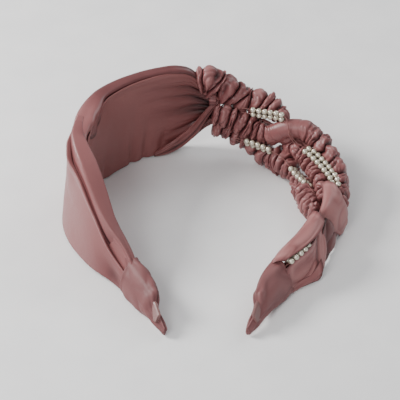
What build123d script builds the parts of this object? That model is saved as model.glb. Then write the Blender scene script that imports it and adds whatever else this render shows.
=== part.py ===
from build123d import *
import os
from math import cos, radians, sin, tan

# Knotted satin headband, lying on its lower edge. Millimetres, +Z up.
# The hoop opens towards -Y; the wide panel is on -X and the braid on +X.
# A place on the band is given by three numbers: s, the distance along the hoop from the
# crown (negative on the wide side), off, the distance from the hoop's centre line
# (positive towards the head), and z, the height above the surface it rests on.

# ---- driving dimensions -------------------------------------------------------------
CROWN_X, CROWN_Y = -0.8, 70.3                    # hoop centre line at the crown
HOOP_ARCS = [(73.0, 36.0), (53.5, 62.0), (64.0, 36.0)]   # radius, turn in degrees
LEG_STRAIGHT = 6.0                               # between the last arc and the flare
FLARE_RADIUS, FLARE_TURN = 62.0, 20.0            # the tips turn back outwards
TIP_STRAIGHT = 20.0
STRIP_WIDTH, STRIP_THICKNESS = 8.0, 1.8          # moulded hoop strip
CROWN_HEIGHT, TIP_HEIGHT = 24.0, 7.5             # middle of the strip above the surface
HINGE_S = 6.0                                    # where the two halves flex
HINGE_GAP = 0.35
FABRIC = 0.9                                     # satin, folded double
PEARL_DIAMETER, PEARL_PITCH, PEARL_HOLE = 3.1, 3.25, 0.8
THREAD_DIAMETER = 0.4
ELASTIC_WIDTH, ELASTIC_THICKNESS = 3.0, 0.8
WRAP_GAP, WRAP_THICKNESS = 0.15, 0.45            # satin wound round the braid's strip

# |s|, lean of the band towards the head per mm of height
LEAN = [[60, 0.0], [80, 0.06], [95, 0.13], [110, 0.20], [130, 0.25], [145, 0.30], [157, 0.40]]

ARC_LENGTHS = [radius * radians(turn) for radius, turn in HOOP_ARCS]
FLARE_LENGTH = FLARE_RADIUS * radians(FLARE_TURN)
HALF_LENGTH = sum(ARC_LENGTHS) + LEG_STRAIGHT + FLARE_LENGTH + TIP_STRAIGHT


# ---- places on the band -------------------------------------------------------------
def hoop_place(s):
    """Plan position and heading (radians, clockwise from +X) of the right half at s."""
    x, y, heading, left = 0.0, CROWN_Y, 0.0, abs(s)
    runs = [(radius, length) for (radius, _), length in zip(HOOP_ARCS, ARC_LENGTHS)]
    runs += [(None, LEG_STRAIGHT), (-FLARE_RADIUS, FLARE_LENGTH), (None, 2 * TIP_STRAIGHT)]
    for radius, length in runs:
        step = min(left, length)
        if radius is None:
            x, y = x + step * cos(heading), y - step * sin(heading)
        else:
            turned = heading + step / radius
            x += radius * (sin(turned) - sin(heading))
            y += radius * (cos(turned) - cos(heading))
            heading = turned
        left -= step
    return x, y, heading


def at(s, off, z):
    """The point at distance s along the hoop, off towards the head and z up."""
    x, y, heading = hoop_place(s)
    side = 1.0 if s >= 0 else -1.0
    return Vector(CROWN_X + side * (x - off * sin(heading)), y - off * cos(heading), z)


def strip_height(s):
    """Height of the middle of the hoop strip, which sinks towards the tips."""
    rest = max(0.0, 1.0 - abs(s) / HALF_LENGTH)
    return TIP_HEIGHT + (CROWN_HEIGHT - TIP_HEIGHT) * rest ** 2


def lean_of(s):
    """How far the band leans towards the head per mm of height, at s."""
    return between(LEAN, abs(s))[0]


def between(table, s):
    """Row of a table, [s, value, ...] rows sorted by s, interpolated at s."""
    if s <= table[0][0]:
        return list(table[0][1:])
    for low, high in zip(table, table[1:]):
        if s <= high[0]:
            share = (s - low[0]) / (high[0] - low[0])
            return [a + (b - a) * share for a, b in zip(low[1:], high[1:])]
    return list(table[-1][1:])


def stretch(start, end, step):
    """Stations from start to end, about step apart."""
    count = max(1, round(abs(end - start) / step))
    return [start + (end - start) * i / count for i in range(count + 1)]


# ---- solids built across the band ---------------------------------------------------
def outline(s, points):
    """Flat face in the upright plane across the hoop at s, from (off, z) points."""
    return Face(Wire.make_polygon([at(s, off, z) for off, z in points], close=True))


def skin(stations, shape):
    """Solid through shape(s), a list of (off, z) points, at each station."""
    return loft([outline(s, shape(s)) for s in stations], ruled=True)


def oval(off, z, thick, tall, lean=0.0, count=12):
    """Points of an oval, its upper end leaning by lean towards the head."""
    points = []
    for i in range(count):
        turn = radians(360 * (i + 0.5) / count)
        rise = tall / 2 * sin(turn)
        points.append((off + thick / 2 * cos(turn) + lean * rise / (tall / 2), z + rise))
    return points


def rod(route, radius, diameter):
    """Round rod along a route of straight runs joined by tangent arcs."""
    path = FilletPolyline(*route, radius=radius)
    plane = Plane(origin=path @ 0, z_dir=path % 0)
    return sweep(plane * Circle(diameter / 2), path=path), path


def corner_radii(route):
    """For each corner, 0.45 of its shorter run over the tangent of half the turn."""
    radii = []
    for before, here, after in zip(route, route[1:], route[2:]):
        run_in, run_out = here - before, after - here
        half_turn = radians(run_in.get_angle(run_out)) / 2
        radii.append(0.45 * min(run_in.length, run_out.length) / tan(half_turn))
    return radii


# ---- moulded hoop -------------------------------------------------------------------
def strip_shape(s, grow=0.0):
    """Section of the strip, which leans with the band and is rounded at the tips."""
    half = between([[HALF_LENGTH - 5.0, 1.0], [HALF_LENGTH, 0.55]], abs(s))[0] * STRIP_WIDTH / 2
    half, face, edge = half + grow, STRIP_THICKNESS / 2 + grow, 0.5 + grow / 2
    corners = [(-face, edge - half), (-face, half - edge), (edge - face, half),
               (face - edge, half), (face, half - edge), (face, edge - half),
               (face - edge, -half), (edge - face, -half)]
    return [(off + lean_of(s) * rise, strip_height(s) + rise) for off, rise in corners]


def knuckle(s):
    """Rounded end of a hoop half, upright at s."""
    return Pos(at(s, 0, strip_height(HINGE_S))) * Cylinder(STRIP_THICKNESS / 2, STRIP_WIDTH)


def make_hoop():
    reach = STRIP_THICKNESS / 2
    start = HINGE_S + 2 * reach + HINGE_GAP
    left = skin(stretch(-HALF_LENGTH, HINGE_S, 6.0), strip_shape) + knuckle(HINGE_S)
    right = skin(stretch(start, HALF_LENGTH, 6.0), strip_shape) + knuckle(start)
    wrapped = stretch(start + 1.0, 158.0, 6.0)
    open_ends = [wrapped[0] - 0.5] + wrapped[1:-1] + [wrapped[-1] + 0.5]
    wrap = skin(wrapped, lambda s: strip_shape(s, WRAP_GAP + WRAP_THICKNESS))
    wrap -= skin(open_ends, lambda s: strip_shape(s, WRAP_GAP))
    return {"hoop_wide_half": left, "hoop_braid_half": right, "hoop_wrap": wrap}


# ---- wide panel and its leg ---------------------------------------------------------
# s, lower edge, upper edge
PANEL = [[-172, 3.4, 13.2], [-161, 3.0, 13.8], [-157, 0.0, 17.0], [-145, 0.0, 25.0],
         [-130, 0.0, 34.5], [-110, 0.0, 45.5], [-95, 0.0, 50.0], [-80, 0.0, 51.5],
         [-60, 0.0, 52.5], [-40, 0.0, 53.0], [-25, 2.5, 53.0], [-12, 7.0, 50.0],
         [-7.5, 9.0, 47.0], [-5.5, 10.0, 37.6], [1, 14.0, 36.4], [5, 15.5, 35.0]]
COVER_OFF, LINING_OFF = -2.3, 1.5                # inner faces, from the strip's middle
# s, how far the cover stands away from the strip where nothing holds it down
PUFF = [[-157, 0.0], [-140, 0.2], [-110, 0.5], [-85, 0.7], [-60, 0.3], [-40, 0.0]]
PLEAT_GAP, PLEAT_STEP = 0.2, 1.1                 # each pleat lies a step outside the last
FLAP = 6.0                                       # cover turned over the upper edge
PANEL_SPACING = 9.0                              # between sections along the band
PLEAT_START, PLEAT_END = -172, -70
# s, height of the folded upper edge of the outer pleat and of the one beneath it
PLEATS = [[-172, 7.0, 9.0], [-157, 11.0, 13.2], [-151, 13.8, 17.2], [-145, 17.8, 23.0],
          [-130, 31.0, 33.0], [-118, 38.4, 40.0], [-110, 41.0, 43.6], [-103, 43.2, 46.0],
          [-95, 46.8, 48.0], [-84, 48.6, 49.4], [-70, 49.4, 50.0]]
# Roll of the lining beside the gather: s, height of its middle
ROLL = [[-30, 2.6], [-18, 6.5], [-9, 13.5], [-4, 20.5], [1, 26.5]]
ROLL_THICKNESS, ROLL_HEIGHT, ROLL_STAND = 3.0, 5.0, 2.0


def squeeze(s):
    """The layers lie closer together where the tip sleeve and the binding hold them."""
    return between([[-161, 0.5], [-156, 0.68], [-146, 0.9], [-130, 1.0], [-8, 1.0], [1, 0.85]], s)[0]


def settle(s, points):
    """Squeeze the layers at s and lean them about the strip's middle."""
    middle, near, lean = strip_height(s), squeeze(s), lean_of(s)
    return [(off * near + lean * (z - middle), z) for off, z in points]


def layer(s, inner, outer, low, high):
    """A sheet between two distances from the strip's middle, following the lean."""
    return settle(s, [(inner, low), (inner, high), (outer, high), (outer, low)])


def cover_shape(s):
    """Outer cover: up the outside, over the upper edge and down the inside as a flap."""
    low, high = between(PANEL, s)
    back, front = COVER_OFF - between(PUFF, s)[0], LINING_OFF + FABRIC + 0.3
    flap = min(FLAP, 0.3 * (high - low))
    profile = [(back - FABRIC, low), (back - FABRIC, high - 1.8), (back + 0.4, high),
               (front, high), (front + FABRIC, high - 1.5), (front + FABRIC, high - flap),
               (front, high - flap), (front, high - 1.8), (front - 0.5, high - FABRIC),
               (back + 0.8, high - FABRIC), (back, high - 2.2), (back, low)]
    return settle(s, profile)


def lining_shape(s):
    low, high = between(PANEL, s)
    return layer(s, LINING_OFF, LINING_OFF + FABRIC, low + 0.2, high - 2.0)


def pleat_shape(s, rank):
    """Pleat folded over the cover on the wide leg; rank 1 lies on it, rank 2 outside that."""
    low = between(PANEL, s)[0]
    outer_edge, under_edge = between(PLEATS, s)
    inner = COVER_OFF - between(PUFF, s)[0] - FABRIC - PLEAT_GAP - PLEAT_STEP * (rank - 1)
    return layer(s, inner, inner - FABRIC, low, outer_edge if rank == 2 else under_edge)


def roll_shape(s):
    """Double roll that the lining makes along its lower edge beside the gather."""
    off = LINING_OFF + FABRIC + ROLL_STAND
    return oval(off, between(ROLL, s)[0], ROLL_THICKNESS, ROLL_HEIGHT, count=8)


def make_panel():
    stations = sorted(set([row[0] for row in PANEL] + stretch(-157, -12, PANEL_SPACING)))
    leg = [s for s in stations if PLEAT_START <= s < PLEAT_END] + [PLEAT_END]
    return {
        "wide_cover": skin(stations, cover_shape),
        "wide_lining": skin([s for s in stations if s >= -157], lining_shape),
        "wide_pleat_middle": skin(leg, lambda s: pleat_shape(s, 1)),
        "wide_pleat_edge": skin(leg, lambda s: pleat_shape(s, 2)),
        "lining_roll": skin([row[0] for row in ROLL], roll_shape),
    }


# ---- crown: what gathers the panel's end --------------------------------------------
BINDING_SPAN = (2.2, 4.6)                        # from s to s
BINDING_OFF, BINDING_WALL = (-3.0, 3.2), 0.9
BINDING_EASE_BELOW, BINDING_EASE_ABOVE = 0.6, 0.5
# s, height of the knot's middle, thickness, height
KNOT = [[-6, 43.6, 5.0, 8.0], [-4, 44.0, 9.0, 11.0], [-1, 44.6, 10.5, 12.5],
        [2, 45.2, 9.5, 12.0], [4, 45.6, 5.0, 9.0]]
KNOT_OFF = -0.5


def binding_shape(grow):
    """Section round the gathered layers, the same at each end of the binding."""
    low, high = between(PANEL, sum(BINDING_SPAN) / 2)
    low, high = low - BINDING_EASE_BELOW - grow, high + BINDING_EASE_ABOVE + grow
    back, front = BINDING_OFF[0] - grow, BINDING_OFF[1] + grow
    return [(back, low), (back, high), (front, high), (front, low)]


def knot_shape(s):
    z, thick, tall = between(KNOT, s)
    return oval(KNOT_OFF, z, thick, tall)


def make_crown():
    start, end = BINDING_SPAN
    binding = skin([start, end], lambda s: binding_shape(BINDING_WALL))
    binding -= skin([start - 1, end + 1], lambda s: binding_shape(0.0))
    return {"gather_binding": binding, "crown_knot": skin([row[0] for row in KNOT], knot_shape)}


# ---- braid --------------------------------------------------------------------------
# Each strand: s, off, z, thickness, height, in the order it lies along the hoop.
UPPER_STRAND = [[12.5, -2.0, 37.0, 8.0, 12.0], [18, -2.5, 34.6, 9.0, 13.0],
                [28, -2.2, 32.0, 9.0, 12.0], [37, -1.4, 30.2, 7.0, 9.6],
                [43, 0.4, 27.8, 4.0, 7.6], [46, 3.0, 22.4, 3.4, 6.6], [49, 4.0, 17.4, 3.8, 6.0],
                [54, 4.2, 17.6, 4.2, 7.0], [60, 4.6, 16.5, 4.6, 8.0], [70, 5.0, 13.5, 5.5, 7.0],
                [80, 5.0, 12.5, 5.5, 6.5], [90, 5.0, 12.5, 5.0, 6.5], [97, 4.4, 12.0, 4.4, 6.0]]
MIDDLE_STRAND = [[8.6, 4.6, 24.6, 5.5, 10.5], [16, 5.2, 22.6, 6.4, 11.0],
                 [26, 5.2, 19.6, 6.2, 10.5], [36, 6.2, 18.0, 5.2, 10.0],
                 [40, 6.3, 19.4, 4.4, 9.0], [45, 7.2, 23.4, 3.7, 7.4], [47, 6.3, 25.4, 3.7, 6.6],
                 [50, 3.2, 27.0, 4.6, 6.2],
                 [55, -1.4, 27.4, 6.2, 7.0], [60, -3.0, 26.0, 5.8, 8.0], [64, -4.1, 24.0, 5.4, 9.0],
                 [68, -4.5, 21.8, 5.4, 10.0], [76, -4.9, 18.0, 5.6, 12.0],
                 [86, -5.1, 14.0, 5.6, 12.0], [95, -5.0, 11.0, 5.0, 10.0]]
LOWER_STRAND = [[8.6, 3.4, 15.4, 5.0, 6.4], [16, 4.0, 13.4, 6.0, 6.8], [28, 5.6, 9.2, 7.0, 8.2],
                [40, 7.6, 6.4, 8.0, 9.0], [52, 8.6, 6.0, 8.0, 9.0], [64, 10.6, 4.4, 6.5, 7.0],
                [76, 12.0, 4.6, 7.0, 7.4], [88, 12.6, 6.0, 7.0, 9.0], [97, 11.0, 6.8, 6.0, 8.0]]
COVER_WALL = 1.1                                 # ruched satin, gathered


def strand_shape(table, shrink):
    def shape(s):
        off, z, thick, tall = between(table, s)
        return oval(off, z, thick - 2 * shrink, tall - 2 * shrink)
    return shape


def make_strand(name, table):
    """Ruched tube closed at both ends, with a flat elastic inside."""
    stations = [row[0] for row in table]
    start, end = stations[0], stations[-1]
    inner = [start + 0.8] + stations[1:-1] + [end - 0.8]
    cover = skin(stations, strand_shape(table, 0.0)) - skin(
        inner, strand_shape(table, COVER_WALL))

    def elastic_shape(s):
        off, z = between(table, s)[:2]
        half, tall = ELASTIC_THICKNESS / 2, ELASTIC_WIDTH / 2
        return [(off - half, z - tall), (off - half, z + tall),
                (off + half, z + tall), (off + half, z - tall)]
    cord = [start + 1.2] + stations[1:-1] + [end - 1.2]
    return {f"strand_{name}": cover, f"elastic_{name}": skin(cord, elastic_shape)}


# ---- pearl strings ------------------------------------------------------------------
# Each route: s, off, z of one thread, then off and z of its twin beside it.
LOWER_STRING = [[18, 9.4, 13.4, 1.6, 2.9], [26, 9.9, 13.0, 1.6, 2.9], [34, 10.8, 13.4, 1.6, 2.9],
                [45, 10.6, 12.6, 1.8, 2.9], [55, 10.4, 11.8, 2.0, 2.4], [65, 10.8, 9.7, 2.6, 1.8],
                [76, 10.6, 10.0, 2.6, 1.8], [85, 10.0, 11.6, 1.8, 1.8], [94, 9.2, 13.0, 1.0, 1.0]]
UPPER_STRING = [[20, 4.6, 28.8, 0.4, 3.2], [30, 4.4, 29.0, 0.4, 3.2], [37, 4.3, 30.0, 0.3, 3.2],
                [43, 3.9, 31.0, 0.2, 3.2], [48, 4.4, 30.8, 0.0, 2.8], [52, 7.2, 26.4, 0.0, 1.8],
                [57, 7.2, 22.6, -0.6, 1.0], [62, 6.9, 21.6, -1.6, 0.8], [67, 5.4, 21.4, -3.2, 0.6],
                [78, 3.6, 20.2, -3.3, 0.2], [89, 1.0, 19.4, -3.3, 0.0], [96, 0.4, 18.2, -2.8, 0.0],
                [103, 2.6, 15.6, 0.8, 0.0], [114, 3.0, 13.6, 0.8, 0.0], [125, 3.2, 13.2, 0.6, 0.0],
                [135, 2.0, 14.8, -0.8, 0.0], [142, 0.6, 17.6, -3.2, 0.6], [150, 0.2, 17.0, -3.2, 0.4],
                [159, 0.4, 14.6, -1.6, 0.2]]
# The stretches, from s to s, where pearls lie on the threads
LOWER_PEARLS = [(26, 44), (63, 84)]
UPPER_PEARLS = [(27, 47.5), (65, 95), (142, 157)]


def route_points(table, twin):
    return [at(s, off + twin * side, z + twin * up) for s, off, z, side, up in table]


def travelled(table, points, s):
    """Distance along the route's straight runs at which it passes s."""
    total = 0.0
    for i, (before, after) in enumerate(zip(points, points[1:])):
        start, end = table[i][0], table[i + 1][0]
        if s <= end:
            return total + (after - before).length * (s - start) / (end - start)
        total += (after - before).length
    return total


def pearl(place, along):
    """Round bead with a hole for the thread."""
    ball = Sphere(PEARL_DIAMETER / 2) - Cylinder(PEARL_HOLE / 2, 2 * PEARL_DIAMETER)
    return Plane(origin=place, z_dir=along) * ball


def make_string(name, table, stretches):
    """Two threads side by side with the pearls strung on them."""
    threads, pearls = [], []
    for twin in (0, 1):
        points = route_points(table, twin)
        thread, path = rod(points, corner_radii(points), THREAD_DIAMETER)
        threads.append(thread)
        runs = travelled(table, points, table[-1][0])
        for start, end in stretches:
            first, last = (travelled(table, points, s) / runs * path.length for s in (start, end))
            for i in range(int((last - first) / PEARL_PITCH) + 1):
                share = (first + i * PEARL_PITCH) / path.length
                pearls.append(pearl(path @ share, path % share))
    return {f"threads_{name}": Compound(threads), f"pearls_{name}": Compound(pearls)}


# ---- tails and sleeves --------------------------------------------------------------
# Each strap: s, then (off, z) of its lower edge, its middle and its upper edge.
TAIL_OUTER = [[99, -5.5, 6.0, -2.6, 17.6, 4.5, 21.0], [104, -8.0, 1.0, -2.6, 16.8, 3.5, 21.0],
              [110, -8.2, 0.0, -2.6, 16.2, 3.0, 20.4], [116, -6.5, 0.6, -2.6, 15.4, 3.5, 19.0]]
TAIL_FRONT = [[118, -4.4, 1.0, -2.4, 15.6, 4.2, 19.6], [126, -5.6, 0.6, -2.6, 15.2, 2.2, 18.6],
              [134, -7.6, 0.6, -3.6, 13.6, -0.2, 17.4], [141, -8.6, 1.0, -5.6, 7.0, -3.4, 13.0]]
TAIL_INNER = [[120, 3.4, 15.0, 6.0, 17.7, 9.0, 20.5], [130, 3.6, 14.8, 6.2, 18.0, 9.2, 21.6],
              [145, 3.6, 14.4, 5.4, 16.8, 7.4, 19.0], [157, 4.2, 13.6, 5.0, 15.0, 6.0, 16.4]]
TAIL_LOWER = [[141.8, -5.4, 2.0, -3.4, 9.0, -1.0, 14.8], [150, -5.2, 1.6, -3.4, 8.6, -1.0, 14.2],
              [158, -4.6, 1.2, -3.0, 8.0, -1.2, 12.6]]
TAIL_REAR = [[142, -10.4, 0.2, -9.0, 2.6, -7.4, 5.0], [150, -8.6, 0.0, -7.6, 2.6, -6.6, 5.0],
             [158, -7.2, 0.2, -6.6, 2.6, -5.9, 5.0]]
STRAP_THICKNESS = 1.4


def strap_shape(table, thickness):
    """Flat strap through three points at each station."""
    def shape(s):
        row, half = between(table, s), thickness / 2
        line = [(row[0], row[1]), (row[2], row[3]), (row[4], row[5])]
        return [(off - half, z) for off, z in line] + [(off + half, z) for off, z in reversed(line)]
    return shape


def make_tails():
    tables = {"tail_outer": TAIL_OUTER, "tail_front": TAIL_FRONT, "tail_inner": TAIL_INNER,
              "tail_lower": TAIL_LOWER, "tail_rear": TAIL_REAR}
    return {name: skin([row[0] for row in table], strap_shape(table, STRAP_THICKNESS))
            for name, table in tables.items()}


# |s|, off, z, thickness, height, lean of the sleeve's outside
SLEEVE = [[160, -0.2, 8.5, 10.2, 17.0, 3.4], [168, 0.0, 8.0, 9.8, 16.0, 3.2],
          [178, 0.1, 7.7, 8.4, 15.4, 3.1], [188, 0.1, 7.4, 7.4, 14.8, 2.9],
          [194, 0.3, 6.9, 5.6, 13.0, 2.4], [197, 0.6, 6.2, 2.4, 10.0, 1.8]]


def make_sleeve(side):
    """Satin pocket over the hoop's end, open towards the crown."""
    def shape(shrink):
        def points(s):
            off, z, thick, tall, lean = between(SLEEVE, abs(s))
            return oval(off, z, thick - 2 * shrink, tall - 2 * shrink, lean)
        return points
    outside = [row[0] for row in SLEEVE]
    inside = [SLEEVE[0][0] - 2] + outside[1:-2] + [HALF_LENGTH + 0.8]
    return skin([side * s for s in outside], shape(0.0)) - skin(
        [side * s for s in inside], shape(1.0))


def main():
    os.makedirs("parts", exist_ok=True)
    nodes = {}
    nodes.update(make_hoop())
    nodes.update(make_panel())
    nodes.update(make_crown())
    for name, table in (("upper", UPPER_STRAND), ("middle", MIDDLE_STRAND),
                        ("lower", LOWER_STRAND)):
        nodes.update(make_strand(name, table))
    nodes.update(make_string("lower", LOWER_STRING, LOWER_PEARLS))
    nodes.update(make_string("upper", UPPER_STRING, UPPER_PEARLS))
    nodes.update(make_tails())
    nodes["tip_sleeve_wide"] = make_sleeve(-1)
    nodes["tip_sleeve_braid"] = make_sleeve(1)
    for name, solid in nodes.items():
        solid.label = name
        export_step(solid, f"parts/{name}.step")


main()
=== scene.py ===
import math

import bpy
import numpy as np
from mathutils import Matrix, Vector


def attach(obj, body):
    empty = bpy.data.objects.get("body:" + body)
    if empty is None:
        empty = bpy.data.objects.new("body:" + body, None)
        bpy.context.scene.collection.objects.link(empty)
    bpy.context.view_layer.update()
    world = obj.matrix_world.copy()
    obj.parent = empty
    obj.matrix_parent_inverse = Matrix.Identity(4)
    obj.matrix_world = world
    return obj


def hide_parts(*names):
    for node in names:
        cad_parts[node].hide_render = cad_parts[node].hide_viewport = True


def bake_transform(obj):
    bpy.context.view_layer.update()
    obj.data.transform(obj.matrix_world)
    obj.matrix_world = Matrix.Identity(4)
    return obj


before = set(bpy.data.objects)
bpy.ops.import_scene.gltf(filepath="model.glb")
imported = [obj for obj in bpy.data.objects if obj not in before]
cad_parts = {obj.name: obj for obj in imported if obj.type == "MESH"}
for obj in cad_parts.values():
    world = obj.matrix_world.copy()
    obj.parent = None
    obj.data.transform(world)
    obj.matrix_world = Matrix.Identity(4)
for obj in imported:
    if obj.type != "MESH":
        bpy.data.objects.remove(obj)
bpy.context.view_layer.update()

# Places on the band, in mm, as in the part: s along the hoop from the crown (negative on
# the wide side), off towards the head, z above the surface the band lies on.
CROWN_X, CROWN_Y = -0.8, 70.3
ARCS = ((73.0, 36.0), (53.5, 62.0), (64.0, 36.0))
LEG_STRAIGHT, FLARE_RADIUS, FLARE_TURN = 6.0, 62.0, 20.0
# height of the strip's middle at the crown and at the tips, and the length of half the hoop
CROWN_HEIGHT, TIP_HEIGHT, HALF_LENGTH = 24.0, 7.5, 191.6
# |s|, lean of the band towards the head per mm of height
LEAN = ((60, 0.0), (80, 0.06), (95, 0.13), (110, 0.20), (130, 0.25), (145, 0.30), (157, 0.40))
WALK_LENGTH, WALK_STEP = 230, 0.05
MM = 0.001


def walk_hoop():
    """Distance, plan position and heading along the right half of the hoop."""
    runs = [(radius, radius * math.radians(turn)) for radius, turn in ARCS]
    runs += [(None, LEG_STRAIGHT), (-FLARE_RADIUS, FLARE_RADIUS * math.radians(FLARE_TURN))]
    s = np.arange(0, WALK_LENGTH, WALK_STEP)
    bend, start = np.zeros_like(s), 0.0
    for radius, length in runs:
        if radius:
            bend[(s >= start) & (s < start + length)] = 1 / radius
        start += length
    heading = np.concatenate([[0], np.cumsum(bend * WALK_STEP)[:-1]])
    half = heading + bend * WALK_STEP / 2
    x = np.concatenate([[0], np.cumsum(np.cos(half) * WALK_STEP)[:-1]])
    y = CROWN_Y - np.concatenate([[0], np.cumsum(np.sin(half) * WALK_STEP)[:-1]])
    return s, x, y, heading


WALK = walk_hoop()


def at(s, off, z):
    """Points in mm for arrays of s, off and z."""
    s, off, z = np.broadcast_arrays(np.asarray(s, float), off, z)
    x, y, heading = (np.interp(np.abs(s), WALK[0], row) for row in WALK[1:])
    side = np.where(s >= 0, 1.0, -1.0)
    return np.stack([CROWN_X + side * (x - off * np.sin(heading)),
                     y - off * np.cos(heading), z], -1)


def curve(table, s):
    """Rows of a table (s, value, ...) joined by a smooth line, read at each s."""
    t = np.array(table, float)
    x, y = t[:, 0], t[:, 1:]
    slope = np.gradient(y, x, axis=0) if len(x) > 2 else np.repeat((y[1:] - y[:1]) / (x[1] - x[0]), 2, 0)
    s = np.clip(np.asarray(s, float), x[0], x[-1])
    i = np.clip(np.searchsorted(x, s) - 1, 0, len(x) - 2)
    width = (x[i + 1] - x[i])[..., None]
    u = (s - x[i])[..., None] / width
    return ((2 * u ** 3 - 3 * u ** 2 + 1) * y[i] + (u ** 3 - 2 * u ** 2 + u) * width * slope[i]
            + (3 * u ** 2 - 2 * u ** 3) * y[i + 1] + (u ** 3 - u ** 2) * width * slope[i + 1])


def column(table, s, index=0):
    """One value of a table's rows, read at each s."""
    return curve(table, s)[..., index]


def columns(table, s):
    """Every value of a table's rows, read at each s."""
    values = curve(table, s)
    return [values[..., index] for index in range(values.shape[-1])]


def middle_height(s):
    """Height of the hoop strip's middle."""
    rest = np.maximum(0, 1 - np.abs(s) / HALF_LENGTH)
    return TIP_HEIGHT + (CROWN_HEIGHT - TIP_HEIGHT) * rest ** 2


def lean_of(s):
    """How far the band leans towards the head per mm of height."""
    return np.interp(np.abs(s), [row[0] for row in LEAN], [row[1] for row in LEAN])


# ---- smooth random folds ---------------------------------------------------------------
TABLE_SIZE = 512
SHUFFLE = np.random.default_rng(11).permutation(TABLE_SIZE)
SLOPES = np.random.default_rng(12).normal(size=(TABLE_SIZE, 3))
SLOPES /= np.linalg.norm(SLOPES, axis=1)[:, None]


def noise(p):
    """Smooth noise from about -1 to 1 at points p (..., 3)."""
    base = np.floor(p).astype(int)
    f = p - base
    blend = f * f * f * (f * (f * 6 - 15) + 10)
    total = 0.0
    for corner in range(8):
        step = np.array([corner & 1, corner >> 1 & 1, corner >> 2 & 1])
        q = (base + step) % TABLE_SIZE
        first = (SHUFFLE[q[..., 0]] + q[..., 1]) % TABLE_SIZE
        index = SHUFFLE[(SHUFFLE[first] + q[..., 2]) % TABLE_SIZE]
        share = np.prod(np.where(step == 1, blend, 1 - blend), axis=-1)
        total = total + share * np.sum(SLOPES[index] * (f - step), axis=-1)
    return total * 1.6


def crinkle(p, power=0.8):
    """Rounded ridges between sharp creases, from 0 in a crease to about 1."""
    return np.minimum(1.0, np.abs(noise(p)) * 2.2) ** power


def bell(x, centre, width):
    """1 at the centre, fading to almost nothing at twice the width from it."""
    return np.exp(-((x - centre) / width) ** 2)


def fade(x, start, length):
    """0 up to start, then rising evenly to 1 over the length."""
    return np.clip((x - start) / length, 0, 1)


def field(*axes):
    """Points (..., 3) for the noise, from three arrays that broadcast together."""
    return np.stack(np.broadcast_arrays(*axes), -1)


def folded_angle(angle):
    """The angle brought to between -pi and pi."""
    return np.angle(np.exp(1j * angle))


def signed_power(x, power):
    """x to a power with its sign kept, which squares off a circle."""
    return np.sign(x) * np.abs(x) ** power


# ---- meshes ----------------------------------------------------------------------------
def add_mesh(name, verts, faces, fold=None):
    """Mesh object from points in mm, with the fold value at each point: the painted light, 0 for painted
    shade as in a crease.
    """
    mesh = bpy.data.meshes.new(name)
    mesh.from_pydata((np.asarray(verts) * MM).tolist(), [], faces)
    mesh.validate()
    mesh.polygons.foreach_set("use_smooth", [True] * len(mesh.polygons))
    values = np.ones(len(verts)) if fold is None else np.clip(fold, 0, 1)
    attribute = mesh.attributes.new("fold", "FLOAT", "POINT")
    attribute.data.foreach_set("value", values.astype(np.float32))
    mesh.update()
    obj = bpy.data.objects.new(name, mesh)
    bpy.context.scene.collection.objects.link(obj)
    return obj


CAP_SHADE, INSIDE_SHADE = 0.3, 0.2                 # painted shade, as the fold value, on a tube's caps and inside walls where little light comes


def tube(name, rings, fold, loop=False):
    """Skin through rings (n, m, 3), capped at both ends or led back to its first ring."""
    n, m = rings.shape[:2]
    faces = [[i * m + j, i * m + (j + 1) % m, (i + 1) % n * m + (j + 1) % m, (i + 1) % n * m + j]
             for i in range(n if loop else n - 1) for j in range(m)]
    if loop:
        return add_mesh(name, rings.reshape(-1, 3), faces, fold.ravel())
    ends = [rings[0].mean(0), rings[-1].mean(0)]
    faces += [[n * m, (j + 1) % m, j] for j in range(m)]
    faces += [[n * m + 1, (n - 1) * m + j, (n - 1) * m + (j + 1) % m] for j in range(m)]
    verts = np.concatenate([rings.reshape(-1, 3), ends])
    return add_mesh(name, verts, faces, np.concatenate([fold.ravel(), [CAP_SHADE] * 2]))


def lined(name, outside, inside, fold):
    """Tube with a wall: the rings outside, then the rings inside back to the start."""
    # painted shade on the inside walls
    dark = np.full(inside.shape[:2], INSIDE_SHADE)
    rings = np.concatenate([outside, inside[::-1]])
    return tube(name, rings, np.concatenate([fold, dark]), loop=True)


def normals_of(grid):
    """Unit normals of a grid of points (n, m, 3)."""
    du, dv = np.gradient(grid, axis=0), np.gradient(grid, axis=1)
    n = np.cross(du, dv)
    return n / np.maximum(np.linalg.norm(n, axis=-1, keepdims=True), 1e-9)


def cloth(name, grid, fold, thick):
    """Sheet of cloth through a grid (n, m, 3), with two faces and rounded edges."""
    n, m = grid.shape[:2]
    edge_roundness = 0.4
    half = normals_of(grid) * thick / 2
    front, back = (grid + half).reshape(-1, 3), (grid - half).reshape(-1, 3)
    rim = ([(0, j) for j in range(m)] + [(i, m - 1) for i in range(1, n)]
           + [(n - 1, j) for j in range(m - 2, -1, -1)] + [(i, 0) for i in range(n - 2, 0, -1)])
    lip = []
    for i, j in rim:
        inner = grid[min(max(i, 1), n - 2), min(max(j, 1), m - 2)]
        out = grid[i, j] - inner
        lip.append(grid[i, j] + out / max(np.linalg.norm(out), 1e-9) * thick * edge_roundness)
    faces = []
    for i in range(n - 1):
        for j in range(m - 1):
            a, b, c, d = i * m + j, i * m + j + 1, (i + 1) * m + j + 1, (i + 1) * m + j
            faces += [[a, d, c, b], [n * m + a, n * m + b, n * m + c, n * m + d]]
    count = len(rim)
    for k in range(count):
        (i0, j0), (i1, j1) = rim[k], rim[(k + 1) % count]
        a, b, la, lb = i0 * m + j0, i1 * m + j1, 2 * n * m + k, 2 * n * m + (k + 1) % count
        faces += [[a, b, lb, la], [la, lb, n * m + b, n * m + a]]
    verts = np.concatenate([front, back, lip])
    flat = fold.ravel()
    return add_mesh(name, verts, faces, np.concatenate([flat, flat, [fold[i, j] for i, j in rim]]))


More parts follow.
